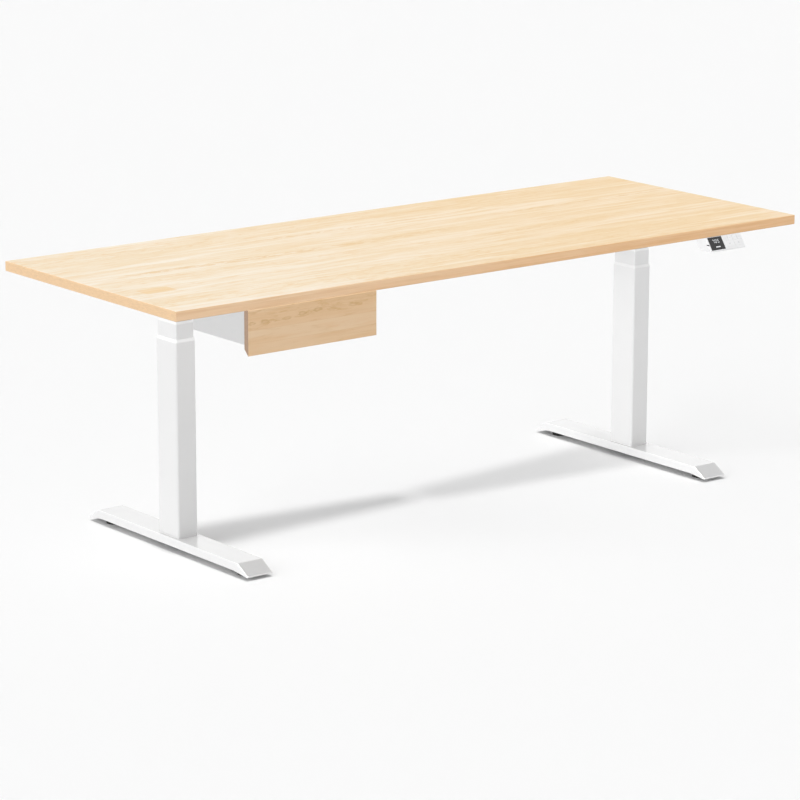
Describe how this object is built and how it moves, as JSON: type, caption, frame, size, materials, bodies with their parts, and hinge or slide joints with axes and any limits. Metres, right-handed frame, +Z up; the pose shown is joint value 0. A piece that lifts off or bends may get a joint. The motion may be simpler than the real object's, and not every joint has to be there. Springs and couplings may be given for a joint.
{
  "type": "height adjustable standing desk",
  "caption": "Motor driven sit-stand desk with telescopic legs on long feet, a wide wooden top, a shallow under-desk drawer and a hand controller with keys.",
  "frame": {"origin": "on the floor, under the centre of the object's box", "axes": "+X to the user's right along the desktop, -Y towards the user, +Z up"},
  "size_m": [2, 0.77, 0.698],
  "materials": {
    "maple_board": "satin lacquer on pale maple",
    "maple_drawer_front": "satin lacquer on tan maple",
    "white_powder_coat": "fine satin powder coat",
    "white_plastic": "satin moulded plastic",
    "white_keys": "satin moulded plastic",
    "black_gloss": "gloss",
    "black_plastic": "fine textured",
    "black_paint": "satin",
    "black_rubber": "matt",
    "cable_black": "matt",
    "zinc_steel": "bright zinc plate",
    "black_steel": "black oxide",
    "screw_steel": "oiled",
    "brass": "turned",
    "circuit_board": "solder resist"
  },
  "bodies": {
    "base": {"foot_left": "white_powder_coat", "foot_right": "white_powder_coat", "foot_plates": "zinc_steel", "column_bolts": "black_steel", "left_outer_column": "white_powder_coat", "right_outer_column": "white_powder_coat", "outer_collars": "white_plastic", "spindle_posts": "zinc_steel", "base_nuts": "brass", "glide_brackets": "zinc_steel"},
    "desktop": {"board": "maple_board", "board_screws": "black_steel", "left_inner_column": "white_powder_coat", "right_inner_column": "white_powder_coat", "front_rail": "white_powder_coat", "rear_rail": "white_powder_coat", "frame_bolts": "black_steel", "gearboxes": "black_plastic", "left_side_bracket": "white_powder_coat", "right_side_bracket": "white_powder_coat", "left_motor": "black_paint", "right_motor": "black_paint", "control_box": "black_plastic", "control_box_lid": "black_plastic", "power_inlet": "black_plastic", "control_board": "circuit_board", "motor_leads": "cable_black", "handset_lead": "cable_black", "lead_clips": "white_plastic", "drawer_case": "white_powder_coat", "drawer_outer_rails": "zinc_steel", "handset_housing": "white_plastic", "handset_window": "black_gloss", "handset_board": "circuit_board"},
    "drawer": {"drawer_tray": "white_powder_coat", "drawer_front": "maple_drawer_front", "drawer_inner_rails": "zinc_steel"},
    "drawer_slides": {"drawer_middle_rails": "zinc_steel"},
    "left_middle_stage": {"left_middle_column": "white_powder_coat", "left_middle_collar": "white_plastic", "left_middle_stem": "zinc_steel", "left_middle_nut": "brass"},
    "left_lower_spindle": {"left_lower_screw": "screw_steel"},
    "left_upper_spindle": {"left_upper_screw": "screw_steel"},
    "left_front_glide": {"glide_left_front": "black_rubber"},
    "left_rear_glide": {"glide_left_rear": "black_rubber"},
    "right_middle_stage": {"right_middle_column": "white_powder_coat", "right_middle_collar": "white_plastic", "right_middle_stem": "zinc_steel", "right_middle_nut": "brass"},
    "right_lower_spindle": {"right_lower_screw": "screw_steel"},
    "right_upper_spindle": {"right_upper_screw": "screw_steel"},
    "right_front_glide": {"glide_right_front": "black_rubber"},
    "right_rear_glide": {"glide_right_rear": "black_rubber"},
    "memory_1_button": {"memory_1_key": "white_keys"},
    "memory_2_button": {"memory_2_key": "white_keys"},
    "memory_3_button": {"memory_3_key": "white_keys"},
    "memory_4_button": {"memory_4_key": "white_keys"},
    "down_button": {"down_key": "white_keys"},
    "up_button": {"up_key": "white_keys"}
  },
  "joints": [
    {"name": "lift", "type": "slide", "parent": "base", "child": "desktop", "axis": [0, 0, 1], "range_m": [-0.073, 0.577]},
    {"name": "left_middle_stage_slide", "type": "slide", "parent": "base", "child": "left_middle_stage", "axis": [0, 0, 1], "range_m": [-0.0366, 0.2886]},
    {"name": "left_lower_spindle_turn", "type": "hinge", "parent": "left_middle_stage", "child": "left_lower_spindle", "pos_m": [-0.75, 0.004, 0.3], "axis": [0, 0, 1], "range_deg": [-1644.5, 12984.5]},
    {"name": "left_upper_spindle_turn", "type": "hinge", "parent": "desktop", "child": "left_upper_spindle", "pos_m": [-0.75, 0.004, 0.3], "axis": [0, 0, 1], "range_deg": [-1644.5, 12984.5]},
    {"name": "left_front_glide_adjust", "type": "slide", "parent": "base", "child": "left_front_glide", "axis": [0, 0, -1], "range_m": [0, 0.01]},
    {"name": "left_rear_glide_adjust", "type": "slide", "parent": "base", "child": "left_rear_glide", "axis": [0, 0, -1], "range_m": [0, 0.01]},
    {"name": "right_middle_stage_slide", "type": "slide", "parent": "base", "child": "right_middle_stage", "axis": [0, 0, 1], "range_m": [-0.0366, 0.2886]},
    {"name": "right_lower_spindle_turn", "type": "hinge", "parent": "right_middle_stage", "child": "right_lower_spindle", "pos_m": [0.75, 0.004, 0.3], "axis": [0, 0, 1], "range_deg": [-1644.5, 12984.5]},
    {"name": "right_upper_spindle_turn", "type": "hinge", "parent": "desktop", "child": "right_upper_spindle", "pos_m": [0.75, 0.004, 0.3], "axis": [0, 0, 1], "range_deg": [-1644.5, 12984.5]},
    {"name": "right_front_glide_adjust", "type": "slide", "parent": "base", "child": "right_front_glide", "axis": [0, 0, -1], "range_m": [0, 0.01]},
    {"name": "right_rear_glide_adjust", "type": "slide", "parent": "base", "child": "right_rear_glide", "axis": [0, 0, -1], "range_m": [0, 0.01]},
    {"name": "drawer_slide", "type": "slide", "parent": "desktop", "child": "drawer", "axis": [0, -1, 0], "range_m": [0, 0.17]},
    {"name": "drawer_slides_follow", "type": "slide", "parent": "desktop", "child": "drawer_slides", "axis": [0, -1, 0], "range_m": [0, 0.0851]},
    {"name": "memory_1_press", "type": "slide", "parent": "desktop", "child": "memory_1_button", "axis": [0, 0.8241, -0.5664], "range_m": [0, 0.0008], "stiffness_N_per_m": 400, "springref_m": -0.002},
    {"name": "memory_2_press", "type": "slide", "parent": "desktop", "child": "memory_2_button", "axis": [0, 0.8241, -0.5664], "range_m": [0, 0.0008], "stiffness_N_per_m": 400, "springref_m": -0.002},
    {"name": "memory_3_press", "type": "slide", "parent": "desktop", "child": "memory_3_button", "axis": [0, 0.8241, -0.5664], "range_m": [0, 0.0008], "stiffness_N_per_m": 400, "springref_m": -0.002},
    {"name": "memory_4_press", "type": "slide", "parent": "desktop", "child": "memory_4_button", "axis": [0, 0.8241, -0.5664], "range_m": [0, 0.0008], "stiffness_N_per_m": 400, "springref_m": -0.002},
    {"name": "down_press", "type": "slide", "parent": "desktop", "child": "down_button", "axis": [0, 0.8241, -0.5664], "range_m": [0, 0.0008], "stiffness_N_per_m": 400, "springref_m": -0.002},
    {"name": "up_press", "type": "slide", "parent": "desktop", "child": "up_button", "axis": [0, 0.8241, -0.5664], "range_m": [0, 0.0008], "stiffness_N_per_m": 400, "springref_m": -0.002}
  ],
  "couplings": [
    {"joint": "left_middle_stage_slide", "follows": "lift", "ratio": 0.5},
    {"joint": "left_lower_spindle_turn", "follows": "lift", "rad_per_m": 392.7},
    {"joint": "left_upper_spindle_turn", "follows": "lift", "rad_per_m": 392.7},
    {"joint": "right_middle_stage_slide", "follows": "lift", "ratio": 0.5},
    {"joint": "right_lower_spindle_turn", "follows": "lift", "rad_per_m": 392.7},
    {"joint": "right_upper_spindle_turn", "follows": "lift", "rad_per_m": 392.7},
    {"joint": "drawer_slides_follow", "follows": "drawer_slide", "ratio": 0.5}
  ]
}
